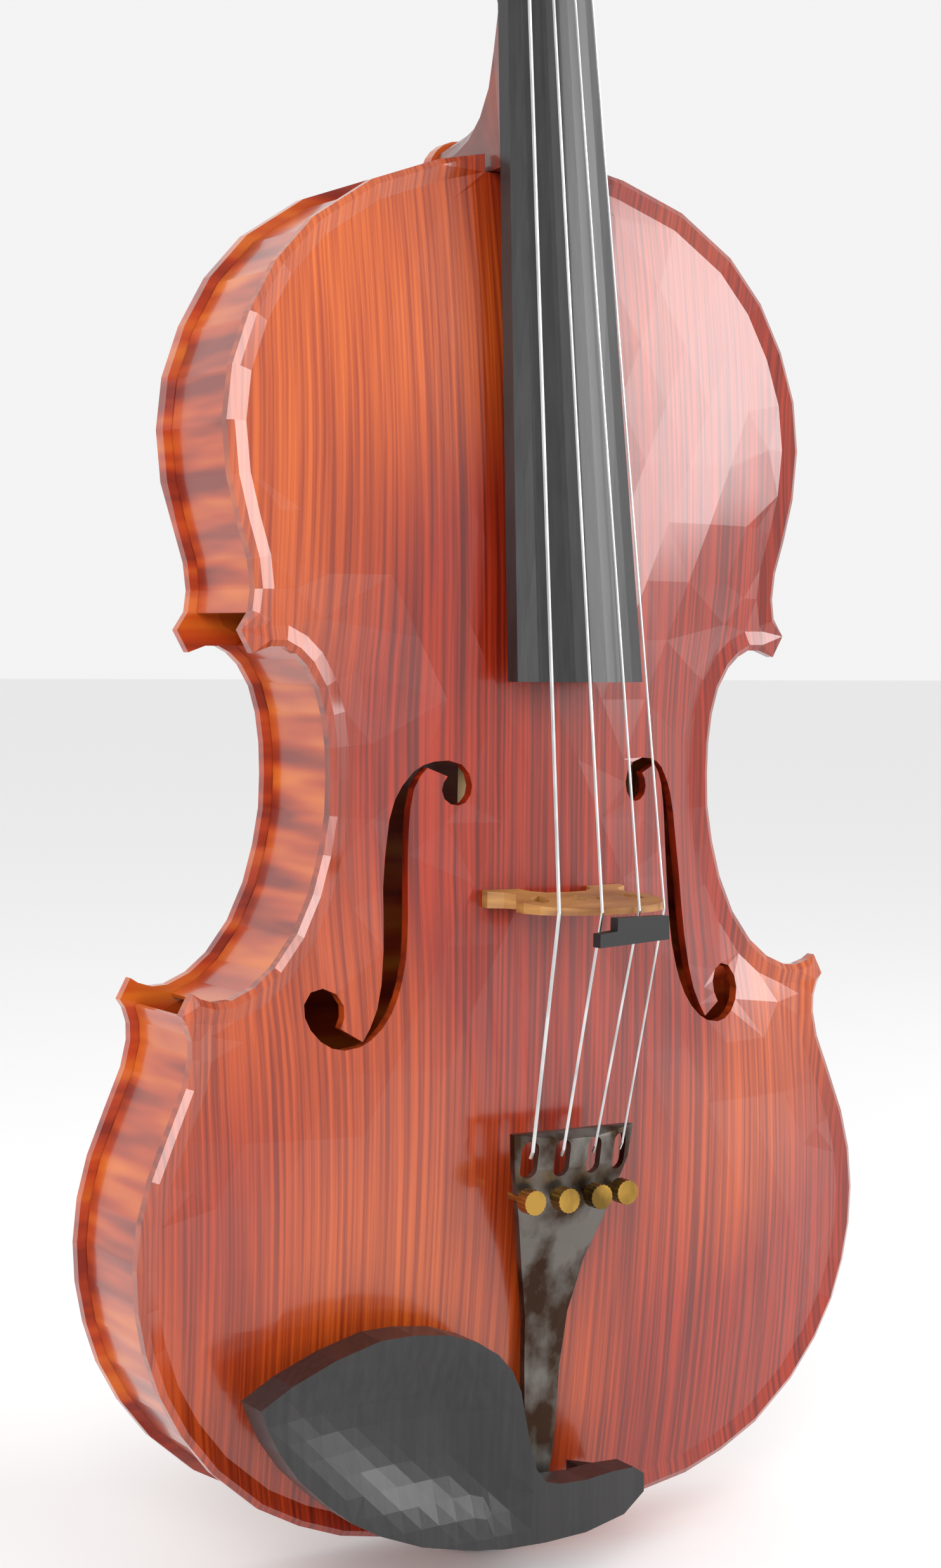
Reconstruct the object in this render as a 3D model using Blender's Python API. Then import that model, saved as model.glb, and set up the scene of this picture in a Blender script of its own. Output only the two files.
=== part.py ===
# A viola with its bow-side fittings: carved body, neck and scroll, metal tailpiece with four
# fine tuners, rubber practice mute and a centre-mounted chin rest.
# Sizes are millimetres in the body's own frame: x to the treble side, y to the back,
# z up from the bottom edge of the body, with y = 0 where the ribs meet the front plate.

import math

import bpy
import bmesh
import numpy as np
from mathutils import Matrix, Vector
from mathutils.geometry import delaunay_2d_cdt

MM = 0.001
GAP = 0.3

# Body outline
BODY_LENGTH = 402.0
UPPER_BOUT_WIDTH = 196.2
CENTRE_BOUT_WIDTH = 130.4
LOWER_BOUT_WIDTH = 248.0
UPPER_CORNER_HEIGHT = 257.4
LOWER_CORNER_HEIGHT = 164.1
CORNER_WIDTH = 6.6
RIB_HEIGHT = 38.0
RIB_THICKNESS = 1.2
EDGE_OVERHANG = 2.8

# Plates
EDGE_THICKNESS = 3.2
CREST_HEIGHT = 4.6
CREST_INSET = 1.8
CHANNEL_HEIGHT = 3.3
CHANNEL_INSET = 6.0
TOP_ARCH_HEIGHT = 17.5
BACK_ARCH_HEIGHT = 16.0
PLATE_THICKNESS = 3.3
PLATFORM_WIDTH = 8.0
BUTTON_RADIUS = 11.0

# Blocks and linings inside
END_BLOCK_WIDTH = 50.0
END_BLOCK_DEPTH = 16.0
CORNER_BLOCK_REACH = 22.0
LINING_THICKNESS = 2.0
LINING_HEIGHT = 7.5

# Bridge, bass bar and sound post
BRIDGE_HEIGHT_ON_BODY = 186.5
BRIDGE_FOOT_SPAN = 47.0
BRIDGE_TOP_THICKNESS = 1.8
BRIDGE_FOOT_THICKNESS = 5.0
BASS_BAR_LENGTH = 300.0
BASS_BAR_WIDTH = 5.5
BASS_BAR_DEPTH = 11.0
SOUND_POST_DIAMETER = 6.4

# Neck, fingerboard and head
NECK_LENGTH = 138.0
NECK_OVERSTAND = 6.3
NECK_RISE = 0.0993
NECK_WOOD_DEPTH = 12.6
MORTISE_DEPTH = 6.0
FINGERBOARD_LENGTH = 290.0
FINGERBOARD_END_WIDTH = 42.4
FINGERBOARD_NUT_WIDTH = 22.8
FINGERBOARD_SIDE = 5.3
FINGERBOARD_RADIUS = 38.0
NUT_THICKNESS = 5.0
PEGBOX_LENGTH = 72.0
PEGBOX_NUT_WIDTH = 26.4
PEGBOX_THROAT_WIDTH = 20.6
PEGBOX_WALL = 5.0
SCROLL_RADIUS = 23.0
SCROLL_EYE_RADIUS = 4.6
SCROLL_WIDTH = 42.0
PEG_DIAMETER = 8.2
PEG_HEAD_HEIGHT = 22.0
PEG_HEAD_LENGTH = 21.0

# Strings
STRING_DIAMETERS = (1.15, 0.95, 0.8, 0.7)
STRING_NAMES = ("c", "g", "d", "a")
OUTER_AT_NUT = 8.2
OUTER_AT_BRIDGE = 17.8
INNER_AT_BRIDGE = 6.3
OUTER_AT_TAIL = 15.3
INNER_AT_TAIL = 5.4
OUTER_BRIDGE_RISE = 47.7
INNER_BRIDGE_RISE = 52.0
OUTER_NUT_RISE = 4.9
INNER_NUT_RISE = 5.6
OUTER_TAIL_RISE = 32.3
INNER_TAIL_RISE = 33.1
STRING_TAIL_HEIGHT = 117.2
WINDING_TURNS = 3

# Tailpiece, tuners and saddle
TAILPIECE_TOP = 122.0
TAILPIECE_BOTTOM = 15.5
TAILPIECE_HEAD_WIDTH = 40.6
TAILPIECE_NECK_WIDTH = 11.6
TAILPIECE_THICKNESS = 2.4
TAILPIECE_CAMBER_RADIUS = 58.0
SLOT_WIDTH = 4.9
SLOT_TOP = 120.0
SLOT_BOTTOM = 109.0
TUNER_HEIGHT_ON_BODY = 103.0
TUNER_HEAD_DIAMETER = 7.2
TUNER_HEAD_HEIGHT = 4.6
TUNER_STEM_DIAMETER = 2.6
TUNER_STANDOFF = 3.2
LEVER_PRONG = 1.1
LEVER_FORK_GAP = 1.5
LEVER_PIVOT_DIAMETER = 1.6
SADDLE_WIDTH = 34.0
SADDLE_DEPTH = 6.0
SADDLE_RISE = 8.3
TAILGUT_DIAMETER = 1.8

# End button, chin rest, clamp and mute
BUTTON_SHANK_DIAMETER = 7.6
BUTTON_NECK_DIAMETER = 8.4
BUTTON_HEAD_DIAMETER = 13.6
BUTTON_HEAD_LENGTH = 9.5
CHIN_REST_RIM = 31.5
CHIN_REST_UNDERSIDE = 19.6
CHIN_REST_DISH = 6.5
CORK_THICKNESS = 1.8
CLAMP_SPREAD = 19.0
CLAMP_OFFSET = 5.2
CLAMP_PLATE = 1.6
CLAMP_POST_DIAMETER = 3.4
BARREL_DIAMETER = 6.2
BARREL_LENGTH = 28.0
MUTE_THICKNESS = 3.6

# Where a wall hanger's yoke takes the throat of the scroll
HANGER_HEIGHT = 612.0
HANGER_DEPTH = 12.0


# Points, curves and plates

def spline(knots, steps):
    """Points along a smooth curve through the knots, ends included."""
    p = np.array([knots[0]] + list(knots) + [knots[-1]], float)
    p[0] = 2 * p[1] - p[2]
    p[-1] = 2 * p[-2] - p[-3]
    points = []
    for i in range(1, len(p) - 2):
        a, b, c, d = p[i - 1:i + 3]
        t1 = math.sqrt(np.linalg.norm(b - a))
        t2 = t1 + math.sqrt(np.linalg.norm(c - b))
        t3 = t2 + math.sqrt(np.linalg.norm(d - c))
        for k in range(steps):
            t = t1 + (t2 - t1) * k / steps
            ab = (t1 - t) / t1 * a + t / t1 * b
            bc = (t2 - t) / (t2 - t1) * b + (t - t1) / (t2 - t1) * c
            cd = (t3 - t) / (t3 - t2) * c + (t - t2) / (t3 - t2) * d
            abc = (t2 - t) / t2 * ab + t / t2 * bc
            bcd = (t3 - t) / (t3 - t1) * bc + (t - t1) / (t3 - t1) * cd
            points.append((t2 - t) / (t2 - t1) * abc + (t - t1) / (t2 - t1) * bcd)
    points.append(p[-2])
    return [tuple(float(v) for v in q) for q in points]


def mirrored(points):
    """The same points on the bass side, in reverse order."""
    return [(-x, z) for x, z in reversed(points)]


def inside(points, polygon):
    """Which of the points lie inside a closed polygon."""
    pts = np.asarray(points, float)
    ring = np.asarray(polygon, float)
    result = np.zeros(len(pts), bool)
    ax, ay = ring[-1]
    for bx, by in ring:
        crosses = (by > pts[:, 1]) != (ay > pts[:, 1])
        if by != ay:
            at = bx + (pts[:, 1] - by) * (ax - bx) / (ay - by)
            result ^= crosses & (pts[:, 0] < at)
        ax, ay = bx, by
    return result


def distance_to(points, line):
    """The least distance from each point to an open or closed row of points."""
    pts = np.asarray(points, float)
    row = np.asarray(line, float)
    start, run = row[:-1], row[1:] - row[:-1]
    best = np.full(len(pts), 1e9)
    for a, d in zip(start, run):
        along = np.clip(((pts - a) @ d) / max(d @ d, 1e-12), 0, 1)
        best = np.minimum(best, np.linalg.norm(pts - a - along[:, None] * d, axis=1))
    return best


def offset_line(line, inset):
    """An open row of points moved sideways, to the left of its direction."""
    row = np.asarray(line, float)
    run = np.gradient(row, axis=0)
    run /= np.linalg.norm(run, axis=1)[:, None]
    return row + inset * np.column_stack([-run[:, 1], run[:, 0]])


def plan_solid(outline, holes, extra, upper, lower, place):
    """A closed solid drawn in plan, between an upper and a lower height."""
    loops = [outline] + list(holes)
    coords = []
    edges = []
    for loop in loops:
        first = len(coords)
        coords += [Vector(p) for p in loop]
        count = len(loop)
        edges += [(first + i, first + (i + 1) % count) for i in range(count)]
    if len(extra):
        keep = inside(extra, outline)
        for hole in holes:
            keep &= ~inside(extra, hole)
        for loop in loops:
            keep &= distance_to(extra, list(loop) + [loop[0]]) > 0.25
        coords += [Vector(p) for p, k in zip(extra, keep) if k]
    verts, _, faces, _, _, _ = delaunay_2d_cdt(coords, edges, [], 0, 1e-5)
    centres = [sum((verts[i] for i in f), Vector((0, 0))) / 3 for f in faces]
    keep = inside(centres, outline)
    for hole in holes:
        keep &= ~inside(centres, hole)
    kept = [f for f, k in zip(faces, keep) if k]
    used = sorted({i for f in kept for i in f})
    shape = bmesh.new()
    top = {i: shape.verts.new(place(*verts[i], upper(*verts[i]))) for i in used}
    bottom = {i: shape.verts.new(place(*verts[i], lower(*verts[i]))) for i in used}
    sides = {}
    for f in kept:
        shape.faces.new([top[i] for i in f])
        shape.faces.new([bottom[i] for i in reversed(f)])
        for a, b in zip(f, f[1:] + f[:1]):
            sides[(a, b)] = sides.get((a, b), 0) + 1
    for a, b in sides:
        if (b, a) not in sides:
            shape.faces.new([top[b], top[a], bottom[a], bottom[b]])
    return outward(shape)


def prism(outline, low, high, place):
    """A flat-sided solid: an outline pushed from one depth to another."""
    shape = bmesh.new()
    near = [shape.verts.new(place(a, b, low)) for a, b in outline]
    far = [shape.verts.new(place(a, b, high)) for a, b in outline]
    shape.faces.new(near)
    shape.faces.new(list(reversed(far)))
    for i in range(len(near)):
        j = (i + 1) % len(near)
        shape.faces.new([near[j], near[i], far[i], far[j]])
    return outward(shape)


def loft(rings, closed=False):
    """A solid skinned over rings of equal count, capped unless it closes on itself."""
    shape = bmesh.new()
    rows = [[shape.verts.new(p) for p in ring] for ring in rings]
    pairs = list(zip(rows, rows[1:] + rows[:1])) if closed else list(zip(rows, rows[1:]))
    for near, far in pairs:
        for i in range(len(near)):
            j = (i + 1) % len(near)
            shape.faces.new([near[i], near[j], far[j], far[i]])
    if not closed:
        shape.faces.new(list(reversed(rows[0])))
        shape.faces.new(rows[-1])
    return outward(shape)


def outward(shape):
    """Turns every face of a closed mesh to look out."""
    bmesh.ops.recalc_face_normals(shape, faces=shape.faces)
    if shape.calc_volume(signed=True) < 0:
        bmesh.ops.reverse_faces(shape, faces=shape.faces)
    return shape


def turned(profile, count=20):
    """Rings of a piece turned about its own z axis, from (height, radius) pairs."""
    rings = []
    for height, radius in profile:
        angles = [2 * math.pi * k / count for k in range(count)]
        rings.append([(radius * math.cos(a), radius * math.sin(a), height) for a in angles])
    return rings


def in_plan(x, z, y):
    return (x, y, z)


def in_side(y, z, x):
    return (x, y, z)


def in_front(x, y, z):
    return (x, y, z)


# Objects and materials

def srgb(code):
    """A hex colour as linear red, green, blue and alpha."""
    values = [int(code[i:i + 2], 16) / 255 for i in (0, 2, 4)]
    return tuple(v / 12.92 if v < 0.04045 else ((v + 0.055) / 1.055) ** 2.4 for v in values) + (1.0,)


def material(name, colour, roughness, metallic=0.0):
    """A Principled material of one finish."""
    made = bpy.data.materials.new(name)
    made.use_nodes = True
    shader = made.node_tree.nodes["Principled BSDF"]
    shader.inputs["Base Color"].default_value = srgb(colour)
    shader.inputs["Roughness"].default_value = roughness
    shader.inputs["Metallic"].default_value = metallic
    made.diffuse_color = srgb(colour)
    return made


for old in list(bpy.data.objects):
    bpy.data.objects.remove(old, do_unlink=True)

FINISHES = {
    "spruce": ("9A2A12", 0.25, 0.0),
    "maple": ("A8300F", 0.25, 0.0),
    "bare_wood": ("D9B98A", 0.6, 0.0),
    "neck_maple": ("7A2A18", 0.35, 0.0),
    "ebony": ("141416", 0.4, 0.0),
    "bridge_maple": ("9C6B36", 0.45, 0.0),
    "steel": ("C8C8C8", 0.25, 1.0),
    "worn_alloy": ("6E6A64", 0.45, 1.0),
    "brass": ("B08A45", 0.35, 1.0),
    "nickel": ("B8B4AC", 0.3, 1.0),
    "rubber": ("101113", 0.5, 0.0),
    "cork": ("A9793F", 0.9, 0.0),
    "gut": ("2A2624", 0.5, 0.0),
}
MATERIALS = {name: material(name, *values) for name, values in FINISHES.items()}

frame = bpy.data.objects.new("body_frame", None)
frame.location = (0, -HANGER_DEPTH * MM, -HANGER_HEIGHT * MM)
bpy.context.scene.collection.objects.link(frame)


def add(name, shape, finish, origin=(0, 0, 0), sharp=40, turn=None):
    """Links a finished mesh, whose points are in body millimetres, about its own origin."""
    move = Matrix.Scale(MM, 4) @ Matrix.Translation(-Vector(origin))
    if turn is not None:
        move = Matrix.Scale(MM, 4) @ turn.to_4x4().inverted() @ Matrix.Translation(-Vector(origin))
    shape.transform(move)
    mesh = bpy.data.meshes.new(name)
    shape.to_mesh(mesh)
    shape.free()
    mesh.shade_smooth()
    mesh.set_sharp_from_angle(angle=math.radians(sharp))
    mesh.materials.append(MATERIALS[finish])
    made = bpy.data.objects.new(name, mesh)
    made.location = Vector(origin) * MM
    if turn is not None:
        made.rotation_euler = turn.to_euler()
    made.parent = frame
    bpy.context.scene.collection.objects.link(made)
    return made


def cutter(name, shape):
    """A hidden solid that another piece is cut or joined with."""
    made = add(name, shape, "steel")
    made.hide_render = True
    made.display_type = "WIRE"
    return made


def combine(target, tool, operation):
    """Cuts the tool from the target, or joins it on."""
    step = target.modifiers.new(tool.name, "BOOLEAN")
    step.operation = operation
    step.object = tool
    step.solver = "EXACT"


def tube(name, points, diameter, finish, resolution=1):
    """A round tube along points in body millimetres, with flat ends."""
    curve = bpy.data.curves.new(name, "CURVE")
    curve.dimensions = "3D"
    curve.bevel_depth = diameter / 2 * MM
    curve.bevel_resolution = resolution
    curve.use_fill_caps = True
    row = curve.splines.new("POLY")
    row.points.add(len(points) - 1)
    for spot, p in zip(row.points, points):
        spot.co = (p[0] * MM, p[1] * MM, p[2] * MM, 1)
    curve.materials.append(MATERIALS[finish])
    made = bpy.data.objects.new(name, curve)
    made.parent = frame
    bpy.context.scene.collection.objects.link(made)
    return made


# Outline of the body, treble half, as fractions of its bouts

UPPER_HALF = UPPER_BOUT_WIDTH / 2
CENTRE_HALF = CENTRE_BOUT_WIDTH / 2
LOWER_HALF = LOWER_BOUT_WIDTH / 2
UPPER_TIP = (UPPER_HALF * 0.952, UPPER_CORNER_HEIGHT + CORNER_WIDTH * 0.97)
UPPER_NOTCH = (UPPER_HALF * 0.952 - CORNER_WIDTH * 0.55, UPPER_CORNER_HEIGHT)
LOWER_NOTCH = (LOWER_HALF * 0.894 - CORNER_WIDTH * 0.49, LOWER_CORNER_HEIGHT)
LOWER_TIP = (LOWER_HALF * 0.894, LOWER_CORNER_HEIGHT - CORNER_WIDTH * 0.92)

UPPER_SHAPE = ((0, 0), (0.16, 0.007), (0.324, 0.030), (0.542, 0.085), (0.730, 0.172), (0.848, 0.265),
               (0.930, 0.369), (0.983, 0.477), (1.0, 0.586), (0.985, 0.694), (0.952, 0.785),
               (0.919, 0.860), (0.909, 0.918), (0.917, 0.962), (0.952, 1.0))
CENTRE_SHAPE = ((1, 0), (0.78, -0.021), (0.61, -0.021), (0.455, 0), (0.308, 0.036), (0.154, 0.104),
                (0.062, 0.187), (0.012, 0.283), (0, 0.38), (0.012, 0.487), (0.052, 0.604),
                (0.125, 0.722), (0.245, 0.840), (0.407, 0.937), (0.56, 0.994), (0.725, 1.027),
                (0.842, 1.030), (0.944, 1.016), (1, 1))
LOWER_SHAPE = ((0.894, 1), (0.880, 0.984), (0.869, 0.956), (0.868, 0.924), (0.882, 0.875),
               (0.924, 0.797), (0.965, 0.718), (0.990, 0.642), (1.0, 0.563), (0.995, 0.490),
               (0.976, 0.415), (0.943, 0.339), (0.890, 0.264), (0.815, 0.190), (0.702, 0.114),
               (0.597, 0.070), (0.488, 0.038), (0.323, 0.014), (0.161, 0.0035), (0, 0))

upper_knots = [(UPPER_HALF * u, BODY_LENGTH - (BODY_LENGTH - UPPER_TIP[1]) * v) for u, v in UPPER_SHAPE]
centre_knots = []
for u, v in CENTRE_SHAPE:
    reach = (UPPER_NOTCH[0] if v < 0.5 else LOWER_NOTCH[0]) - CENTRE_HALF
    height = UPPER_NOTCH[1] - (UPPER_NOTCH[1] - LOWER_NOTCH[1]) * v
    centre_knots.append((CENTRE_HALF + reach * u, height))
lower_knots = [(LOWER_HALF * u, LOWER_TIP[1] * v) for u, v in LOWER_SHAPE]

upper_edge = spline(upper_knots, 1)
centre_edge = spline(centre_knots, 1)
lower_edge = spline(lower_knots, 1)
half_edge = upper_edge + centre_edge + lower_edge
plate_edge = half_edge + mirrored(half_edge)[1:-1]

EDGE = np.array(plate_edge)
EDGE_NEXT = np.roll(EDGE, -1, axis=0)
FINE = np.concatenate([EDGE + (EDGE_NEXT - EDGE) * (k + 0.5) / 6 for k in range(6)])
FINE_LENGTH = np.tile(np.linalg.norm(EDGE_NEXT - EDGE, axis=1) / 6, 6)


def edge_depth(x, z):
    """How deep a point lies inside the outline: the distance near the edge, smooth further in."""
    square = (FINE[:, 0] - x) ** 2 + (FINE[:, 1] - z) ** 2
    return math.pi / float(np.sum(FINE_LENGTH / np.maximum(square, 1e-6)))


def edge_distance(x, z):
    """The true distance of a point from the outline."""
    return float(distance_to([(x, z)], plate_edge + plate_edge[:1])[0])


def arching(x, z, full_height):
    """Height of a plate's outer face above its glue plane."""
    near = edge_distance(x, z)
    depth = edge_depth(x, z)
    if near < CREST_INSET:
        rise = math.sin(0.5 * math.pi * min(near / CREST_INSET, 1.0))
        return EDGE_THICKNESS + (CREST_HEIGHT - EDGE_THICKNESS) * rise
    if near < CHANNEL_INSET and depth < 2 * CHANNEL_INSET:
        fall = 0.5 - 0.5 * math.cos(math.pi * (near - CREST_INSET) / (CHANNEL_INSET - CREST_INSET))
        return CREST_HEIGHT + (CHANNEL_HEIGHT - CREST_HEIGHT) * fall
    middle = edge_depth(0.0, z)
    across = min(max((depth - CHANNEL_INSET) / max(middle - CHANNEL_INSET, 0.5), 0.0), 1.0)
    fullness = 1 - (1 - across) ** 1.5
    fullness = 1.12 * fullness ** 2 / (fullness + 0.12)
    along = min(z, BODY_LENGTH - z) - CHANNEL_INSET
    along = min(max(along / (BODY_LENGTH / 2 - CHANNEL_INSET), 0.0), 1.0)
    crown = (full_height - CHANNEL_HEIGHT) * (1 - (1 - along) ** 2.6)
    return CHANNEL_HEIGHT + crown * fullness


def hollow(x, z, full_height):
    """Height of a plate's inner face above its glue plane."""
    if edge_depth(x, z) < PLATFORM_WIDTH:
        return 0.0
    return max(0.0, arching(x, z, full_height) - PLATE_THICKNESS)


def back_height(x, z):
    """Height of the back plate's outer face, flat over the button."""
    if z > edge_height(x, True) - CREST_INSET:
        return CREST_HEIGHT
    return arching(x, z, BACK_ARCH_HEIGHT)


def hollow_back(x, z):
    """Height of the back plate's inner face."""
    if z > BODY_LENGTH - 2:
        return 0.0
    return hollow(x, z, BACK_ARCH_HEIGHT)


def plate_points(outline):
    """Points inside the outline where a plate's arching is sampled."""
    points = []
    ring = np.array(outline)
    run = np.roll(ring, -1, axis=0) - np.roll(ring, 1, axis=0)
    run /= np.linalg.norm(run, axis=1)[:, None]
    side = np.column_stack([run[:, 1], -run[:, 0]])
    if inside([ring[20] + 0.5 * side[20]], outline)[0] == 0:
        side = -side
    for inset, step in ((CREST_INSET, 1), (CHANNEL_INSET, 1), (2 * CHANNEL_INSET, 2)):
        moved = (ring + side * inset)[::step]
        fits = distance_to(moved, list(outline) + [outline[0]]) > inset * 0.96
        points += [tuple(p) for p, k in zip(moved, fits) if k]
    spacing = 17.0
    rows = int(BODY_LENGTH / spacing)
    for j in range(1, rows):
        for i in range(-8, 9):
            p = (i * spacing + (spacing / 2 if j % 2 else 0), BODY_LENGTH * j / rows)
            if inside([p], outline)[0] and edge_distance(*p) > 2 * CHANNEL_INSET + 5:
                points.append(p)
    return points


# Neck lines, used by the mortise, the fingerboard and the strings

NECK_FOOT = BODY_LENGTH - MORTISE_DEPTH
NUT_HEIGHT = BODY_LENGTH + NECK_LENGTH
BOARD_END = NUT_HEIGHT - FINGERBOARD_LENGTH


def glue_depth(z):
    """y of the plane where the fingerboard is glued to the neck."""
    return -(CREST_HEIGHT + NECK_OVERSTAND) + NECK_RISE * (z - BODY_LENGTH)


def board_half(z):
    """Half the fingerboard's width at a height."""
    share = (z - BOARD_END) / FINGERBOARD_LENGTH
    return (FINGERBOARD_END_WIDTH + (FINGERBOARD_NUT_WIDTH - FINGERBOARD_END_WIDTH) * share) / 2


MORTISE_HALF = board_half(BODY_LENGTH) + GAP

# F-holes, treble side, as distances from the middle of the stem

STOP_NOTCH = (48.0, BRIDGE_HEIGHT_ON_BODY + 1.5)
STEM_OUTER = ((-14.5, 35.0), (-13.4, 33.3), (-12.9, 31.0), (-13.6, 28.6), (-15.4, 27.1), (-17.5, 26.7),
              (-19.6, 27.5), (-21.1, 29.6), (-21.6, 32.3), (-20.8, 35.6), (-18.6, 38.3), (-14.7, 39.5),
              (-10.8, 39.2), (-7.8, 38.2), (-5.3, 36.4), (-2.3, 32.3), (-0.4, 28.3), (1.1, 22.4),
              (2.4, 12.0), (3.2, 3.6), (3.5, -5.0), (4.0, -14.2), (5.1, -23.5), (6.7, -30.4),
              (9.0, -35.6), (11.2, -39.2))
STEM_INNER = ((17.3, -35.4), (16.0, -32.5), (15.8, -29.2), (17.6, -25.8), (21.0, -24.2), (24.4, -25.2),
              (26.6, -28.5), (26.8, -32.0), (25.6, -35.5), (23.1, -38.7), (20.0, -40.7), (16.5, -41.4),
              (12.0, -40.6), (8.8, -38.8), (5.4, -35.7), (2.7, -31.8), (0.7, -27.4), (-0.7, -23.0),
              (-2.1, -16.5), (-2.7, -10.6), (-3.1, -4.3), (-3.3, 3.7), (-3.6, 12.7), (-3.9, 19.8),
              (-4.4, 26.0), (-5.4, 31.5), (-7.0, 35.0), (-8.9, 37.4))
F_HOLE_RIGHT = [(STOP_NOTCH[0] + a, STOP_NOTCH[1] + b)
                for a, b in spline(STEM_OUTER, 1) + spline(STEM_INNER, 1)]
F_HOLE_LEFT = mirrored(F_HOLE_RIGHT)


def build_top_plate():
    half = list(half_edge)
    ring = mirrored(half)[:-1] + half[:-1]
    start = next(i for i, p in enumerate(ring) if abs(p[0]) > LOWER_HALF * 0.9)
    ring = ring[start:] + ring[:start]
    ring = edge_point_pair(ring, MORTISE_HALF, True)
    ring = edge_point_pair(ring, SADDLE_WIDTH / 2 + GAP, False)
    around = plate_points(plate_edge)
    for hole in (F_HOLE_RIGHT, F_HOLE_LEFT):
        around = [p for p in around if distance_to([p], hole + hole[:1])[0] > 2.5]
    shape = plan_solid(ring, [F_HOLE_RIGHT, F_HOLE_LEFT], around,
                       lambda x, z: -arching(x, z, TOP_ARCH_HEIGHT),
                       lambda x, z: -hollow(x, z, TOP_ARCH_HEIGHT), in_plan)
    return add("top_plate", shape, "spruce")


def edge_height(x, at_top):
    """z of the outline above or below the middle at a distance across."""
    line = upper_edge if at_top else list(reversed(lower_edge))
    return float(np.interp(abs(x), [p[0] for p in line[:24]], [p[1] for p in line[:24]]))


def edge_point_pair(ring, half_width, at_top):
    """Replaces the middle of an end of the outline by a square notch."""
    level = BODY_LENGTH - MORTISE_DEPTH - GAP if at_top else SADDLE_DEPTH + GAP
    rim = edge_height(half_width, at_top)
    notch = [(-half_width, rim), (-half_width, level), (half_width, level), (half_width, rim)]
    if not at_top:
        notch.reverse()
    result = []
    placed = False
    for x, z in ring:
        near_end = (z > BODY_LENGTH / 2) == at_top
        if near_end and abs(x) <= half_width + 0.6:
            if not placed:
                result += notch
                placed = True
        else:
            result.append((x, z))
    return result


build_top_plate()

# Back plate, with the button that the neck's heel is glued to

button_arc = [(BUTTON_RADIUS * math.sin(a), BODY_LENGTH + BUTTON_RADIUS * math.cos(a) - 0.6)
              for a in [math.radians(15 * k) for k in range(-6, 7)]]
back_ring = [p for p in half_edge if p[1] < BODY_LENGTH - 0.8 or p[0] > BUTTON_RADIUS + 0.5]
back_ring = back_ring[:-1]
back_ring = button_arc + back_ring + mirrored(back_ring + [half_edge[-1]])
add("back_plate", plan_solid(back_ring, [], plate_points(plate_edge),
                             lambda x, z: RIB_HEIGHT + back_height(x, z),
                             lambda x, z: RIB_HEIGHT + hollow_back(x, z), in_plan), "maple")

# Ribs: thin bent strips just inside the plates' edge


def strip(line, outer, inner):
    """A closed outline between two insets of an open edge line."""
    far = [tuple(p) for p in offset_line(line, -outer)]
    near = [tuple(p) for p in offset_line(line, -inner)]
    return far + near[::-1]


def both_sides(name, outline, low, high, finish):
    """The same upright piece on the treble and the bass side."""
    add(name + "_treble", prism(outline, low, high, in_plan), finish)
    add(name + "_bass", prism(mirrored(outline), low, high, in_plan), finish)


rib_inner = EDGE_OVERHANG + RIB_THICKNESS
lining_inner = rib_inner + GAP + LINING_THICKNESS
upper_rib = [p for p in upper_edge if p[0] > MORTISE_HALF]
upper_rib[0] = (MORTISE_HALF + GAP, edge_height(MORTISE_HALF, True))
lower_rib = [p for p in lower_edge if p[0] > BUTTON_SHANK_DIAMETER]
lower_rib.append((BUTTON_SHANK_DIAMETER / 2 + GAP, edge_height(BUTTON_SHANK_DIAMETER / 2, False)))
centre_rib = centre_edge[3:-3]
for title, line in (("upper_rib", upper_rib[:-1]), ("centre_rib", centre_rib), ("lower_rib", lower_rib[1:])):
    both_sides(title, strip(line, EDGE_OVERHANG, rib_inner), GAP, RIB_HEIGHT - GAP, "maple")
for title, line in (("upper_lining", upper_rib[3:-4]), ("centre_lining", centre_edge[6:-6]),
                    ("lower_lining", lower_rib[4:-4])):
    outline = strip(line, rib_inner + GAP, lining_inner)
    both_sides(title + "_front", outline, GAP, LINING_HEIGHT, "bare_wood")
    both_sides(title + "_back", outline, RIB_HEIGHT - LINING_HEIGHT, RIB_HEIGHT - GAP, "bare_wood")

# Blocks, sound post and bass bar

block_top = BODY_LENGTH - MORTISE_DEPTH - 2 * GAP
half_block = END_BLOCK_WIDTH / 2
upper_block = [(-half_block, block_top - END_BLOCK_DEPTH), (half_block, block_top - END_BLOCK_DEPTH),
               (half_block, block_top - 2.5), (-half_block, block_top - 2.5)]
add("upper_block", prism(upper_block, GAP, RIB_HEIGHT - GAP, in_plan), "bare_wood")
pin_half = BUTTON_SHANK_DIAMETER / 2 + GAP
block_foot = rib_inner + 2.2
lower_block = [(-half_block, block_foot), (-pin_half, block_foot - 1), (-pin_half, block_foot + 12),
               (pin_half, block_foot + 12), (pin_half, block_foot - 1), (half_block, block_foot),
               (half_block, block_foot + END_BLOCK_DEPTH), (-half_block, block_foot + END_BLOCK_DEPTH)]
add("lower_block", prism(lower_block, GAP, RIB_HEIGHT - GAP, in_plan), "bare_wood")

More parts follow.
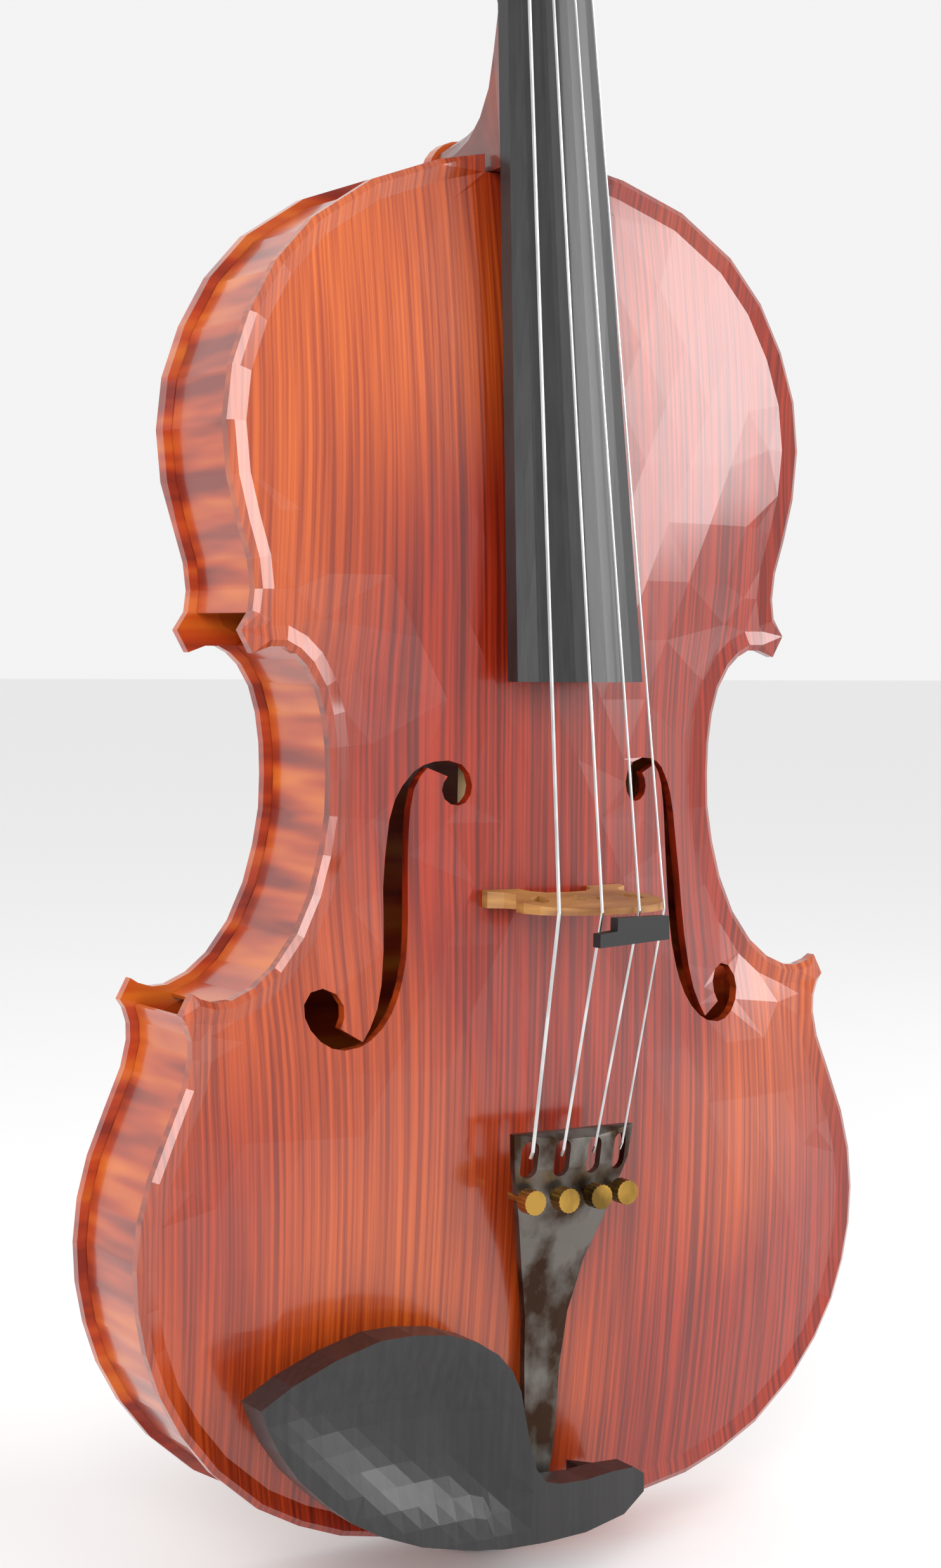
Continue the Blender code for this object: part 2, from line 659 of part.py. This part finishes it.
post_radius = SOUND_POST_DIAMETER / 2
post = [(20 + post_radius * math.cos(a), BRIDGE_HEIGHT_ON_BODY - 7 + post_radius * math.sin(a))
        for a in [2 * math.pi * k / 16 for k in range(16)]]
add("sound_post", plan_solid(post, [], [], lambda x, z: GAP - hollow(x, z, TOP_ARCH_HEIGHT),
                             lambda x, z: RIB_HEIGHT - GAP + hollow_back(x, z), in_plan), "bare_wood")
bar_low = BRIDGE_HEIGHT_ON_BODY + 8 - BASS_BAR_LENGTH / 2
bar_side = [(-20 - BASS_BAR_WIDTH / 2, bar_low + BASS_BAR_LENGTH * k / 16) for k in range(17)]
bar = bar_side + [(x + BASS_BAR_WIDTH, z) for x, z in reversed(bar_side)]


def bar_depth(z):
    share = (z - bar_low) / BASS_BAR_LENGTH
    return 3 + (BASS_BAR_DEPTH - 3) * math.sin(math.pi * share)


add("bass_bar", plan_solid(bar, [], [], lambda x, z: 0.6 - hollow(x, z, TOP_ARCH_HEIGHT),
                           lambda x, z: 0.6 - hollow(x, z, TOP_ARCH_HEIGHT) + bar_depth(z), in_plan),
    "bare_wood")

# Neck, pegbox and scroll, drawn in side view and given a width at each point


def head_point(along, deep):
    """Side-view place of a point beyond the nut, measured along and behind the glue plane."""
    tilt = math.atan(NECK_RISE)
    return (glue_depth(NUT_HEIGHT) + GAP + along * math.sin(tilt) + deep * math.cos(tilt),
            NUT_HEIGHT + along * math.cos(tilt) - deep * math.sin(tilt))


SCROLL_EYE = head_point(88, 9)
SPIRAL_TURN = math.log(SCROLL_RADIUS / SCROLL_EYE_RADIUS) / (5.5 * math.pi)


def spiral(turn):
    """Side-view point and radius of the volute's edge after a turn from its back."""
    radius = SCROLL_RADIUS * math.exp(-SPIRAL_TURN * turn)
    return SCROLL_EYE[0] + radius * math.cos(turn), SCROLL_EYE[1] + radius * math.sin(turn)


heel = [(RIB_HEIGHT - GAP, BODY_LENGTH + BUTTON_RADIUS - 0.9), (22, 413.2), (14.5, 415.2), (9.5, 418.6),
        (6.4, 423.2), (5.0, 430)]
under = [(glue_depth(z) + NECK_WOOD_DEPTH, z) for z in (450, 480, 510, 532)]
chin = [head_point(u, v) for u, v in ((2, 13.2), (7, 17.5), (12, 23.5), (20, 27.5), (34, 29.4),
                                      (52, 30.2), (70, 31.4))]
volute = [spiral(math.radians(18 * k)) for k in range(0, 17)]
throat = [head_point(u, v) for u, v in ((76, 17.5), (72, 14.2), (40, 7.2), (6.5, 1.2), (6.5, 0), (0, 0))]
face = [(glue_depth(z) + GAP, z) for z in (BODY_LENGTH + 40, NECK_FOOT)]
back_line = spline(heel + under + chin, 1)
neck_side = back_line + volute + throat + face + [(RIB_HEIGHT - GAP, NECK_FOOT)]


def neck_half(y, z):
    """Half the width of the neck's wood at a point of its side view."""
    reach = math.hypot(y - SCROLL_EYE[0], z - SCROLL_EYE[1])
    beyond = z - NUT_HEIGHT
    turn = math.atan2(z - SCROLL_EYE[1], y - SCROLL_EYE[0]) % (2 * math.pi)
    if reach < SCROLL_RADIUS * math.exp(-SPIRAL_TURN * turn) + 0.2 and beyond > 60:
        while reach < SCROLL_RADIUS * math.exp(-SPIRAL_TURN * (turn + 2 * math.pi)) and turn < 5.4 * math.pi:
            turn += 2 * math.pi
        outer_turn = 9.0 - 2.6 * math.sin(min(turn, math.pi) / 2)
        inner_turn = SCROLL_WIDTH / 2 * (1 - math.exp(-turn / (2.1 * math.pi)))
        return max(outer_turn, inner_turn)
    if beyond > 3:
        share = min(beyond / PEGBOX_LENGTH, 1.2)
        full = (PEGBOX_NUT_WIDTH + (PEGBOX_THROAT_WIDTH - PEGBOX_NUT_WIDTH) * share) / 2
        edge = float(distance_to([(y, z)], back_line)[0])
        return full - 2.5 * max(0.0, 1 - edge / 3) ** 2
    width = board_half(z) - 0.4 if z > BODY_LENGTH - 20 else board_half(BODY_LENGTH)
    if z <= BODY_LENGTH + 14 and y > 0:
        width += (BUTTON_RADIUS - 1 - width) * min(y / RIB_HEIGHT, 1)
    if z <= BODY_LENGTH + 1:
        return width
    edge = float(distance_to([(y, z)], back_line)[0])
    return max(0.8, width * math.sqrt(max(0.0, 1 - (1 - min(edge / NECK_WOOD_DEPTH, 1)) ** 2)))


neck_inner = []
for inset in (0.5, 1.8, 4.5, 8.5):
    neck_inner += [tuple(p) for p in offset_line(back_line, inset)]
    neck_inner += [tuple(p) for p in offset_line(back_line, -inset)]
for k in range(20, 66):
    turn = math.radians(15 * k)
    if turn < 5.4 * math.pi:
        for slip in (-0.25, 0.25):
            y, z = spiral(turn)
            out = math.hypot(y - SCROLL_EYE[0], z - SCROLL_EYE[1])
            neck_inner.append((SCROLL_EYE[0] + (y - SCROLL_EYE[0]) * (out + slip) / out,
                               SCROLL_EYE[1] + (z - SCROLL_EYE[1]) * (out + slip) / out))
neck = add("neck", plan_solid(neck_side, [], neck_inner, neck_half,
                              lambda y, z: -neck_half(y, z), in_side), "neck_maple")
cavity = [[head_point(u, v) for v in (-6, floor)] for u, floor in ((9, 15), (38, 22.5), (67, 24.5))]
rings = []
for (near, floor), half in zip(cavity, (7.6, 6.8, 5.4)):
    rings.append([(-half, *near), (half, *near), (half, *floor), (-half, *floor)])
combine(neck, cutter("pegbox_cavity", loft(rings)), "DIFFERENCE")

# Pegs: turned shafts through both walls of the pegbox, with flat oval heads

PEG_PLACES = ((14, 10.5, -1), (28, 13.0, 1), (42, 15.5, -1), (56, 18.0, 1))
PEG_ORDER = ("c", "a", "g", "d")
peg_centres = {}
for (along, deep, side), letter in zip(PEG_PLACES, PEG_ORDER):
    y, z = head_point(along, deep)
    peg_centres[letter] = (y, z, side)
    shaft = PEG_DIAMETER / 2
    bore = turned([(-20, shaft - 0.45 + GAP), (20, shaft + GAP)])
    hole = [[(side * h, y + a, z + b) for a, b, h in ring] for ring in bore]
    combine(neck, cutter("peg_bore_" + letter, loft(hole)), "DIFFERENCE")
    profile = [(-13.5, shaft - 0.5, shaft - 0.5), (13.6, shaft, shaft), (13.8, 5.4, 5.4),
               (16.2, 5.4, 5.4), (17.0, 3.4, 3.4), (19.0, 3.2, 3.6), (21.5, 3.0, 7.5),
               (26.0, 2.8, PEG_HEAD_HEIGHT / 2), (31.0, 2.4, PEG_HEAD_HEIGHT / 2.1),
               (35.0, 2.0, 6.5), (13.8 + PEG_HEAD_LENGTH + 2.0, 1.2, 2.2)]
    peg_rings = []
    for h, thin, tall in profile:
        angles = [2 * math.pi * k / 16 for k in range(16)]
        peg_rings.append([(side * h, y + thin * math.cos(a), z + tall * math.sin(a)) for a in angles])
    add("peg_" + letter, loft(peg_rings), "ebony", origin=(0, y, z))

# Fingerboard and nut

board_rings = []
for k in range(9):
    z = BOARD_END + FINGERBOARD_LENGTH * k / 8
    half = board_half(z)
    low = glue_depth(z)
    free = max(0.0, min(1.0, (BODY_LENGTH - 8 - z) / 30))
    ring = []
    for j in range(9):
        x = -half + 2 * half * j / 8
        drop = (half ** 2 - x ** 2) / (2 * FINGERBOARD_RADIUS)
        ring.append((x, low - FINGERBOARD_SIDE - drop, z))
    for j in range(5):
        x = half - 2 * half * j / 4
        ring.append((x, low - 2.4 * free * (1 - (x / half) ** 2), z))
    board_rings.append(ring)
add("fingerboard", loft(board_rings), "ebony")

nut_half = FINGERBOARD_NUT_WIDTH / 2
nut_low = NUT_HEIGHT + GAP
nut_face = [(-nut_half, glue_depth(NUT_HEIGHT) + 0.2), (nut_half, glue_depth(NUT_HEIGHT) + 0.2)]
for x in (nut_half, OUTER_AT_NUT, 2.8, -2.8, -OUTER_AT_NUT, -nut_half):
    share = min(abs(x) / OUTER_AT_NUT, 1.3) ** 2
    nut_face.append((x, -INNER_NUT_RISE + (INNER_NUT_RISE - OUTER_NUT_RISE) * share + 0.9))
add("nut", prism(nut_face, nut_low, nut_low + NUT_THICKNESS, in_front), "ebony")

# Bridge, cut out between its feet


def foot_level(x):
    return -arching(x, BRIDGE_HEIGHT_ON_BODY + 1.5, TOP_ARCH_HEIGHT) - GAP


foot_half = BRIDGE_FOOT_SPAN / 2
crown = INNER_BRIDGE_RISE - 0.9
bridge_half = [(foot_half, foot_level(foot_half)), (foot_half, foot_level(foot_half) - 3.0), (19.5, -22.5),
               (17.6, -26.0), (19.6, -29.5), (22.4, -33.5), (22.8, -38.0), (20.8, -43.5),
               (OUTER_AT_BRIDGE, -OUTER_BRIDGE_RISE + 1.0), (12.4, -crown + 1.6), (6.3, -crown), (0, -crown - 0.5)]
bridge_arch = [(0, -25.5), (6.5, -25.0), (10.2, -22.0), (11.0, foot_level(12.5) - 2.4),
               (11.6, foot_level(11.6))]
bridge_ring = bridge_half + mirrored(bridge_half)[1:]
bridge_ring = bridge_ring + [(-x, y) for x, y in reversed(bridge_arch)] + bridge_arch[1:]
heart = [(0, -36.2), (2.6, -38.6), (5.2, -37.2), (4.6, -33.6), (0.9, -30.2)]
heart = heart + [(-x, y) for x, y in reversed(heart[1:])]
kidney = [(12.2, -29.0), (16.0, -31.0), (18.4, -35.0), (17.2, -39.4), (14.4, -38.0), (12.4, -34.0)]
bridge_back = BRIDGE_HEIGHT_ON_BODY - BRIDGE_TOP_THICKNESS / 2


def bridge_front(x, y):
    share = min(max((-y - 17) / (crown - 17), 0), 1)
    return bridge_back + BRIDGE_FOOT_THICKNESS + (BRIDGE_TOP_THICKNESS - BRIDGE_FOOT_THICKNESS) * share


add("bridge", plan_solid(bridge_ring, [heart, kidney, [(-x, y) for x, y in reversed(kidney)]],
                         [(x, y) for x in (-9, 9) for y in (-28, -42)],
                         lambda x, y: bridge_front(x, y), lambda x, y: bridge_back, in_front),
    "bridge_maple")

# Tailpiece: a wide slotted head that narrows to a long blade

TAIL_SHAPE = ((0.0, 1.0, 1.0), (0.09, 0.955, 0.96), (0.25, 0.73, 0.80), (0.38, 0.53, 0.63), (0.53, 0.36, 0.52),
              (0.68, 0.30, 0.45), (0.82, 0.27, 0.43), (0.93, 0.20, 0.44), (1.0, 0.10, 0.45))


def tail_edge(z):
    """Half width and rise of the tailpiece's edge at a height."""
    share = (TAILPIECE_TOP - z) / (TAILPIECE_TOP - TAILPIECE_BOTTOM)
    marks = [row[0] for row in TAIL_SHAPE]
    half = TAILPIECE_HEAD_WIDTH / 2 * float(np.interp(share, marks, [row[1] for row in TAIL_SHAPE]))
    rise = 28.8 * float(np.interp(share, marks, [row[2] for row in TAIL_SHAPE])) + 1.6
    return half, rise


def tail_top(x, z):
    half, rise = tail_edge(z)
    return -rise - (half ** 2 - x ** 2) / (2 * TAILPIECE_CAMBER_RADIUS)


tail_half = []
for share, _, _ in TAIL_SHAPE:
    z = TAILPIECE_TOP - (TAILPIECE_TOP - TAILPIECE_BOTTOM) * share
    tail_half.append((tail_edge(z)[0], z))
tail_ring = tail_half + mirrored(tail_half)
slots = []
holes = []
TUNER_PLACES = {}
string_tail = {"c": -OUTER_AT_TAIL, "g": -INNER_AT_TAIL, "d": INNER_AT_TAIL, "a": OUTER_AT_TAIL}
for letter, x in string_tail.items():
    r = SLOT_WIDTH / 2
    arc = [(x + r * math.cos(a), r * math.sin(a)) for a in [math.pi * k / 6 for k in range(7)]]
    slots.append([(p, SLOT_TOP - r + q) for p, q in arc]
                 + [(x - (p - x), SLOT_BOTTOM + r - q) for p, q in arc])
    stem = TUNER_STEM_DIAMETER / 2 + GAP
    TUNER_PLACES[letter] = (x * 1.03, TUNER_HEIGHT_ON_BODY)
    holes.append([(x * 1.03 + stem * math.cos(a), TUNER_HEIGHT_ON_BODY + stem * math.sin(a))
                  for a in [2 * math.pi * k / 12 for k in range(12)]])
tail_grid = [(x, z) for z in range(24, 118, 9) for x in (-12, -8, -4, 0, 4, 8, 12) if abs(x) < tail_edge(z)[0] - 2]
add("tailpiece", plan_solid(tail_ring, slots + holes, tail_grid, tail_top,
                            lambda x, z: tail_top(x, z) + TAILPIECE_THICKNESS, in_plan), "worn_alloy")

# Fine tuners: knurled heads on stems through the tailpiece

for letter, (x, z) in TUNER_PLACES.items():
    surface = tail_top(x, z)
    base = surface - TUNER_STANDOFF
    head = TUNER_HEAD_DIAMETER / 2
    stem = TUNER_STEM_DIAMETER / 2
    rows = [(surface + TAILPIECE_THICKNESS + 3.0, stem), (base, stem), (base - 0.02, head),
            (base - TUNER_HEAD_HEIGHT, head)]
    rings = []
    for y, radius in rows:
        ring = []
        for k in range(36):
            a = 2 * math.pi * k / 36
            r = radius - (0.18 if k % 2 and radius > stem else 0)
            ring.append((x + r * math.cos(a), y, z + r * math.sin(a)))
        rings.append(ring)
    add("tuner_" + letter, loft(rings), "brass", origin=(x, base, z))

# Strings, from the tailpiece over the bridge and the nut to their pegs

string_rows = {
    "c": (-OUTER_AT_TAIL, OUTER_TAIL_RISE, -OUTER_AT_BRIDGE, OUTER_BRIDGE_RISE, -OUTER_AT_NUT, OUTER_NUT_RISE),
    "g": (-INNER_AT_TAIL, INNER_TAIL_RISE, -INNER_AT_BRIDGE, INNER_BRIDGE_RISE, -2.75, INNER_NUT_RISE),
    "d": (INNER_AT_TAIL, INNER_TAIL_RISE, INNER_AT_BRIDGE, INNER_BRIDGE_RISE, 2.75, INNER_NUT_RISE),
    "a": (OUTER_AT_TAIL, OUTER_TAIL_RISE, OUTER_AT_BRIDGE, OUTER_BRIDGE_RISE, OUTER_AT_NUT, OUTER_NUT_RISE),
}
for letter, diameter in zip(STRING_NAMES, STRING_DIAMETERS):
    xt, yt, xb, yb, xn, yn = string_rows[letter]
    peg_y, peg_z, side = peg_centres[letter]
    lift = diameter / 2 + 0.15
    wrap = PEG_DIAMETER / 2 + diameter / 2 + GAP
    route = [(xt, -yt + 1.2, STRING_TAIL_HEIGHT - 2.0), (xt, -yt, STRING_TAIL_HEIGHT),
             (xb, -yb - lift, BRIDGE_HEIGHT_ON_BODY), (xn, -yn - lift, NUT_HEIGHT + 1.5),
             (xn * 0.98, -yn - lift + 1.2, NUT_HEIGHT + NUT_THICKNESS + 1.5),
             (xn * 0.4, peg_y - wrap, peg_z)]
    tube("string_" + letter, route, diameter, "steel")

# Saddle, end button and tailgut

saddle_half = SADDLE_WIDTH / 2
saddle_face = [(-0.3, 0.6), (-0.3, SADDLE_DEPTH), (-SADDLE_RISE + 0.6, SADDLE_DEPTH), (-SADDLE_RISE, 3.6),
               (-SADDLE_RISE + 1.2, 1.4), (-5.0, 0.6)]
add("saddle", prism(saddle_face, -saddle_half, saddle_half, in_side), "ebony")
button_y = RIB_HEIGHT / 2
neck_r = BUTTON_NECK_DIAMETER / 2
head_r = BUTTON_HEAD_DIAMETER / 2
button_rows = [(16, BUTTON_SHANK_DIAMETER / 2 - 0.4), (2.5, BUTTON_SHANK_DIAMETER / 2), (0.4, neck_r),
               (-3.4, neck_r), (-4.2, head_r), (-3.4 - BUTTON_HEAD_LENGTH + 1.2, head_r),
               (-3.4 - BUTTON_HEAD_LENGTH, head_r - 1.4)]
add("end_button", loft([[(x, y + button_y, z) for x, y, z in ring] for ring in turned(button_rows)]), "ebony")
gut = TAILGUT_DIAMETER / 2
loop = neck_r + gut + GAP
bend = [(loop * math.cos(math.radians(a)), button_y + loop * math.sin(math.radians(a)), -1.6)
        for a in range(180, -1, -20)]
over = -SADDLE_RISE - gut - GAP
left_run = [(-1.4, -11.0, 14.8), (-2.4, over - 0.2, 3.6), (-3.0, over + 2.4, -0.6), (-3.6, -3, -1.6),
            (-loop, 8, -1.6)]
tube("tailgut", left_run + bend + [(-x, y, z) for x, y, z in reversed(left_run)], TAILGUT_DIAMETER, "gut", 2)

# Chin rest and practice mute

CHIN_SHAPE = ((-100.4, 54.5), (-90.9, 59.9), (-77.5, 65.3), (-63.6, 69.0), (-53.2, 69.2), (-41.7, 67.8),
              (-32.6, 64.7), (-25.4, 60.1), (-20.7, 54.8), (-17.8, 48.6), (-16.3, 41.2), (-14.4, 32.2),
              (-12.4, 25.5), (-9.1, 21.3), (-4.3, 20.0), (5.1, 19.6), (14.6, 20.2), (23.3, 20.0),
              (27.2, 17.5), (27.3, 12.1), (19.7, 6.7), (5.3, 4.2), (-8.9, 3.7), (-22.9, 4.0), (-36.5, 6.0),
              (-50.0, 9.1), (-63.2, 14.3), (-72.0, 19.2), (-80.5, 26.0), (-89.0, 34.1), (-95.0, 42.5),
              (-98.6, 49.8))
chin_edge = list(CHIN_SHAPE) + [CHIN_SHAPE[0]]


def chin_top(x, z):
    if x > -16:
        return -CHIN_REST_RIM + 0.12 * max(0, x)
    inset = min(float(distance_to([(x, z)], chin_edge)[0]) / 24, 1)
    return -CHIN_REST_RIM + CHIN_REST_DISH * (0.5 - 0.5 * math.cos(math.pi * inset))


def chin_under(x, z):
    foot = (z < 19 and z > 7.5 and (12 < x < 26 or -28 < x < -13))
    return -9.5 if foot else -CHIN_REST_UNDERSIDE


chin_inner = [(x, z) for x in range(-92, 24, 6) for z in range(8, 68, 6)]
for low, high in ((12, 26), (-28, -13)):
    for slip in (-0.2, 0.2):
        chin_inner += [(low - slip, z) for z in (7.7, 13, 18.8)] + [(high + slip, z) for z in (7.7, 13, 18.8)]
add("chin_rest", plan_solid(CHIN_SHAPE, [], chin_inner, chin_top, chin_under, in_plan), "ebony")

mute_face = [(-10.0, 177.2), (13.2, 178.6), (13.0, 185.2), (-4.2, 185.2), (-4.3, 181.6), (-10.0, 181.0)]
mute_back = -INNER_BRIDGE_RISE - max(STRING_DIAMETERS) - 0.6
add("practice_mute", prism(mute_face, mute_back - MUTE_THICKNESS, mute_back, in_plan), "rubber",
    origin=(0, -51, 182))
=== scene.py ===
import math

import bpy
from mathutils import Matrix, Vector

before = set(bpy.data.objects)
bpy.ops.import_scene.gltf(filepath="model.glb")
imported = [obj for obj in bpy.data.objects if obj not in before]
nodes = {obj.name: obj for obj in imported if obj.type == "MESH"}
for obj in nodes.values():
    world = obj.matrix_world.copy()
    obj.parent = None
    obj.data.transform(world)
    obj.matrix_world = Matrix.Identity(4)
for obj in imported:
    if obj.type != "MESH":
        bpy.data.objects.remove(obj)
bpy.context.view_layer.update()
scene = bpy.context.scene


def srgb(code):
    """A hex colour as linear red, green, blue and alpha."""
    values = [int(code[i:i + 2], 16) / 255 for i in (0, 2, 4)]
    return tuple(v / 12.92 if v < 0.04045 else ((v + 0.055) / 1.055) ** 2.4 for v in values) + (1.0,)


def put(tree, kind, settings=(), links=()):
    """Adds a shader node, sets its inputs and links sockets of other nodes to them."""
    made = tree.nodes.new(kind)
    for key, value in dict(settings).items():
        if key in made.inputs:
            made.inputs[key].default_value = value
        else:
            setattr(made, key, value)
    for key, source in dict(links).items():
        tree.links.new(source, made.inputs[key])
    return made


def base(name, roughness, metallic=0.0, coat=0.0):
    """A new material with its shader, ready for colour and bump."""
    made = bpy.data.materials.new(name)
    made.use_nodes = True
    shader = made.node_tree.nodes["Principled BSDF"]
    shader.inputs["Roughness"].default_value = roughness
    shader.inputs["Metallic"].default_value = metallic
    shader.inputs["Coat Weight"].default_value = coat
    shader.inputs["Coat Roughness"].default_value = 0.12
    return made, made.node_tree, shader


def ramp(tree, factor, stops):
    """A colour ramp over a factor, from (place, hex colour) pairs."""
    made = put(tree, "ShaderNodeValToRGB", links={"Fac": factor})
    cells = made.color_ramp.elements
    while len(cells) < len(stops):
        cells.new(0.5)
    for cell, (place, code) in zip(cells, stops):
        cell.position = place
        cell.color = srgb(code)
    return made.outputs["Color"]


def stretched(tree, scale):
    """Object coordinates, stretched by a scale on each axis."""
    place = put(tree, "ShaderNodeTexCoord")
    return put(tree, "ShaderNodeMapping", {"Scale": scale}, {"Vector": place.outputs["Object"]}).outputs[0]


def bumped(tree, shader, height, strength, distance=0.0002):
    """Lets a height texture tilt the surface."""
    bump = put(tree, "ShaderNodeBump", {"Strength": strength, "Distance": distance}, {"Height": height})
    tree.links.new(bump.outputs["Normal"], shader.inputs["Normal"])


def wood(name, stops, grain, roughness, coat, detail=4.0, strength=0.15):
    """Varnished or bare wood, whose grain is noise stretched along one axis."""
    made, tree, shader = base(name, roughness, coat=coat)
    lines = put(tree, "ShaderNodeTexNoise", {"Scale": 1.0, "Detail": detail},
                {"Vector": stretched(tree, grain)}).outputs["Fac"]
    tree.links.new(ramp(tree, lines, stops), shader.inputs["Base Color"])
    bumped(tree, shader, lines, strength)
    return made


def metal(name, code, worn, roughness):
    """Metal with patches where the finish has worn to another colour."""
    made, tree, shader = base(name, roughness, metallic=1.0)
    patches = put(tree, "ShaderNodeTexNoise", {"Scale": 1.0, "Detail": 6.0},
                  {"Vector": stretched(tree, (90, 90, 60))}).outputs["Fac"]
    tree.links.new(ramp(tree, patches, [(0.42, code), (0.62, worn)]), shader.inputs["Base Color"])
    return made


# Front plate: red varnish over fine upright grain, glowing gold where it has thinned

varnish, tree, shader = base("front_varnish", 0.28, coat=0.6)
grain = put(tree, "ShaderNodeTexNoise", {"Scale": 1.0, "Detail": 3.0},
            {"Vector": stretched(tree, (900, 60, 8))}).outputs["Fac"]
glow = put(tree, "ShaderNodeTexNoise", {"Scale": 1.0, "Detail": 1.0},
           {"Vector": stretched(tree, (9, 9, 6))}).outputs["Fac"]
dark = ramp(tree, grain, [(0.35, "5E140A"), (0.65, "97290F")])
bright = ramp(tree, grain, [(0.35, "9E3A12"), (0.65, "C8641E")])
weight = put(tree, "ShaderNodeMapRange", {"From Min": 0.45, "From Max": 0.75}, {"Value": glow}).outputs[0]
mixed = put(tree, "ShaderNodeMix", {"data_type": "RGBA"})
tree.links.new(weight, mixed.inputs[0])
tree.links.new(dark, mixed.inputs[6])
tree.links.new(bright, mixed.inputs[7])
tree.links.new(mixed.outputs[2], shader.inputs["Base Color"])
bumped(tree, shader, grain, 0.12)

# Materials of the other pieces

FINISH = {
    "maple": wood("flamed_maple", [(0.35, "7A1E0A"), (0.5, "B0400F"), (0.68, "D06A1C")],
                  (14, 14, 110), 0.28, 0.6, detail=2.0, strength=0.05),
    "back": wood("back_maple", [(0.35, "7A1E0A"), (0.5, "A8380F"), (0.68, "C4601A")],
                 (12, 20, 120), 0.28, 0.6, detail=2.0, strength=0.05),
    "bare": wood("bare_spruce", [(0.35, "C9A574"), (0.65, "E2C596")], (400, 400, 12), 0.7, 0.0),
    "neck": wood("neck_maple", [(0.35, "4E160C"), (0.65, "8C3216")], (120, 30, 40), 0.35, 0.4),
    "ebony": wood("ebony", [(0.35, "0B0B0C"), (0.7, "1C1B1C")], (500, 500, 20), 0.38, 0.15),
    "bridge": wood("bridge_maple", [(0.35, "7A4A1E"), (0.65, "A8763C")], (30, 60, 300), 0.5, 0.0),
    "string": metal("string_metal", "B9B9BA", "D6D6D6", 0.28),
    "tail": metal("worn_tailpiece", "6F6B66", "3A2A20", 0.42),
    "brass": metal("tuner_brass", "A9843F", "6C5428", 0.35),
}
rubber, tree, shader = base("mute_rubber", 0.5)
shader.inputs["Base Color"].default_value = srgb("0E0F11")
speckle = put(tree, "ShaderNodeTexNoise", {"Scale": 900.0}).outputs["Fac"]
bumped(tree, shader, speckle, 0.2)
gut, tree, shader = base("tailgut", 0.5)
shader.inputs["Base Color"].default_value = srgb("231F1D")


def finish_of(name):
    """The material that a node wears."""
    if name == "top_plate":
        return varnish
    if name == "back_plate":
        return FINISH["back"]
    if "_rib_" in name:
        return FINISH["maple"]
    if "_lining_" in name or name in ("upper_block", "lower_block", "sound_post", "bass_bar"):
        return FINISH["bare"]
    if name.startswith("string_"):
        return FINISH["string"]
    if name.startswith("tuner_"):
        return FINISH["brass"]
    named = {"neck": FINISH["neck"], "bridge": FINISH["bridge"], "tailpiece": FINISH["tail"],
             "practice_mute": rubber, "tailgut": gut}
    return named.get(name, FINISH["ebony"])


for name, piece in nodes.items():
    piece.data.materials.clear()
    piece.data.materials.append(finish_of(name))

# Floor: a pale plain sheet under the end button

FLOOR_HEIGHT = -0.6255
FLOOR_REACH = 20.0
mesh = bpy.data.meshes.new("floor")
corners = [(-FLOOR_REACH, -FLOOR_REACH), (FLOOR_REACH, -FLOOR_REACH), (FLOOR_REACH, FLOOR_REACH),
           (-FLOOR_REACH, FLOOR_REACH)]
mesh.from_pydata([(x, y, FLOOR_HEIGHT) for x, y in corners], [], [(0, 1, 2, 3)])
floor = bpy.data.objects.new("floor", mesh)
pale, tree, shader = base("pale_floor", 0.9)
shader.inputs["Base Color"].default_value = srgb("F2F2F2")
mesh.materials.append(pale)
scene.collection.objects.link(floor)

# Light: one large soft panel on each side of the front, and a white surround


def panel(name, place, size, watts):
    """A square soft light that looks at the middle of the body."""
    data = bpy.data.lights.new(name, "AREA")
    data.size = size
    data.energy = watts
    lamp = bpy.data.objects.new(name, data)
    lamp.location = place
    lamp.rotation_euler = (Vector((0, 0, -0.35)) - Vector(place)).to_track_quat("-Z", "Y").to_euler()
    scene.collection.objects.link(lamp)


panel("key_left", (-1.1, -1.3, 0.3), 0.9, 22)
panel("fill_right", (1.2, -0.9, 0.1), 0.8, 14)
world = bpy.data.worlds.new("surround")
world.use_nodes = True
world.node_tree.nodes["Background"].inputs["Color"].default_value = srgb("FFFFFF")
world.node_tree.nodes["Background"].inputs["Strength"].default_value = 0.9
scene.world = world

# Camera: where the photograph was taken from

CAMERA_PLACE = (-0.4251, -0.6826, -0.3530)
CAMERA_YAW = 0.5463
CAMERA_PITCH = -0.0498
CAMERA_ROLL = 0.0088
CAMERA_LENS = 62.05
ahead = Vector((math.sin(CAMERA_YAW) * math.cos(CAMERA_PITCH),
                math.cos(CAMERA_YAW) * math.cos(CAMERA_PITCH), math.sin(CAMERA_PITCH)))
level = Vector((math.cos(CAMERA_YAW), -math.sin(CAMERA_YAW), 0))
upright = level.cross(ahead)
across = math.cos(CAMERA_ROLL) * level + math.sin(CAMERA_ROLL) * upright
over = -math.sin(CAMERA_ROLL) * level + math.cos(CAMERA_ROLL) * upright
data = bpy.data.cameras.new("camera")
data.lens = CAMERA_LENS
data.sensor_width = 36.0
data.clip_start = 0.01
camera = bpy.data.objects.new("camera", data)
turn = Matrix((across, over, -ahead)).transposed()
camera.matrix_world = Matrix.Translation(CAMERA_PLACE) @ turn.to_4x4()
scene.collection.objects.link(camera)
scene.camera = camera
scene.render.resolution_x = 1484
scene.render.resolution_y = 2474
scene.view_settings.view_transform = "Standard"
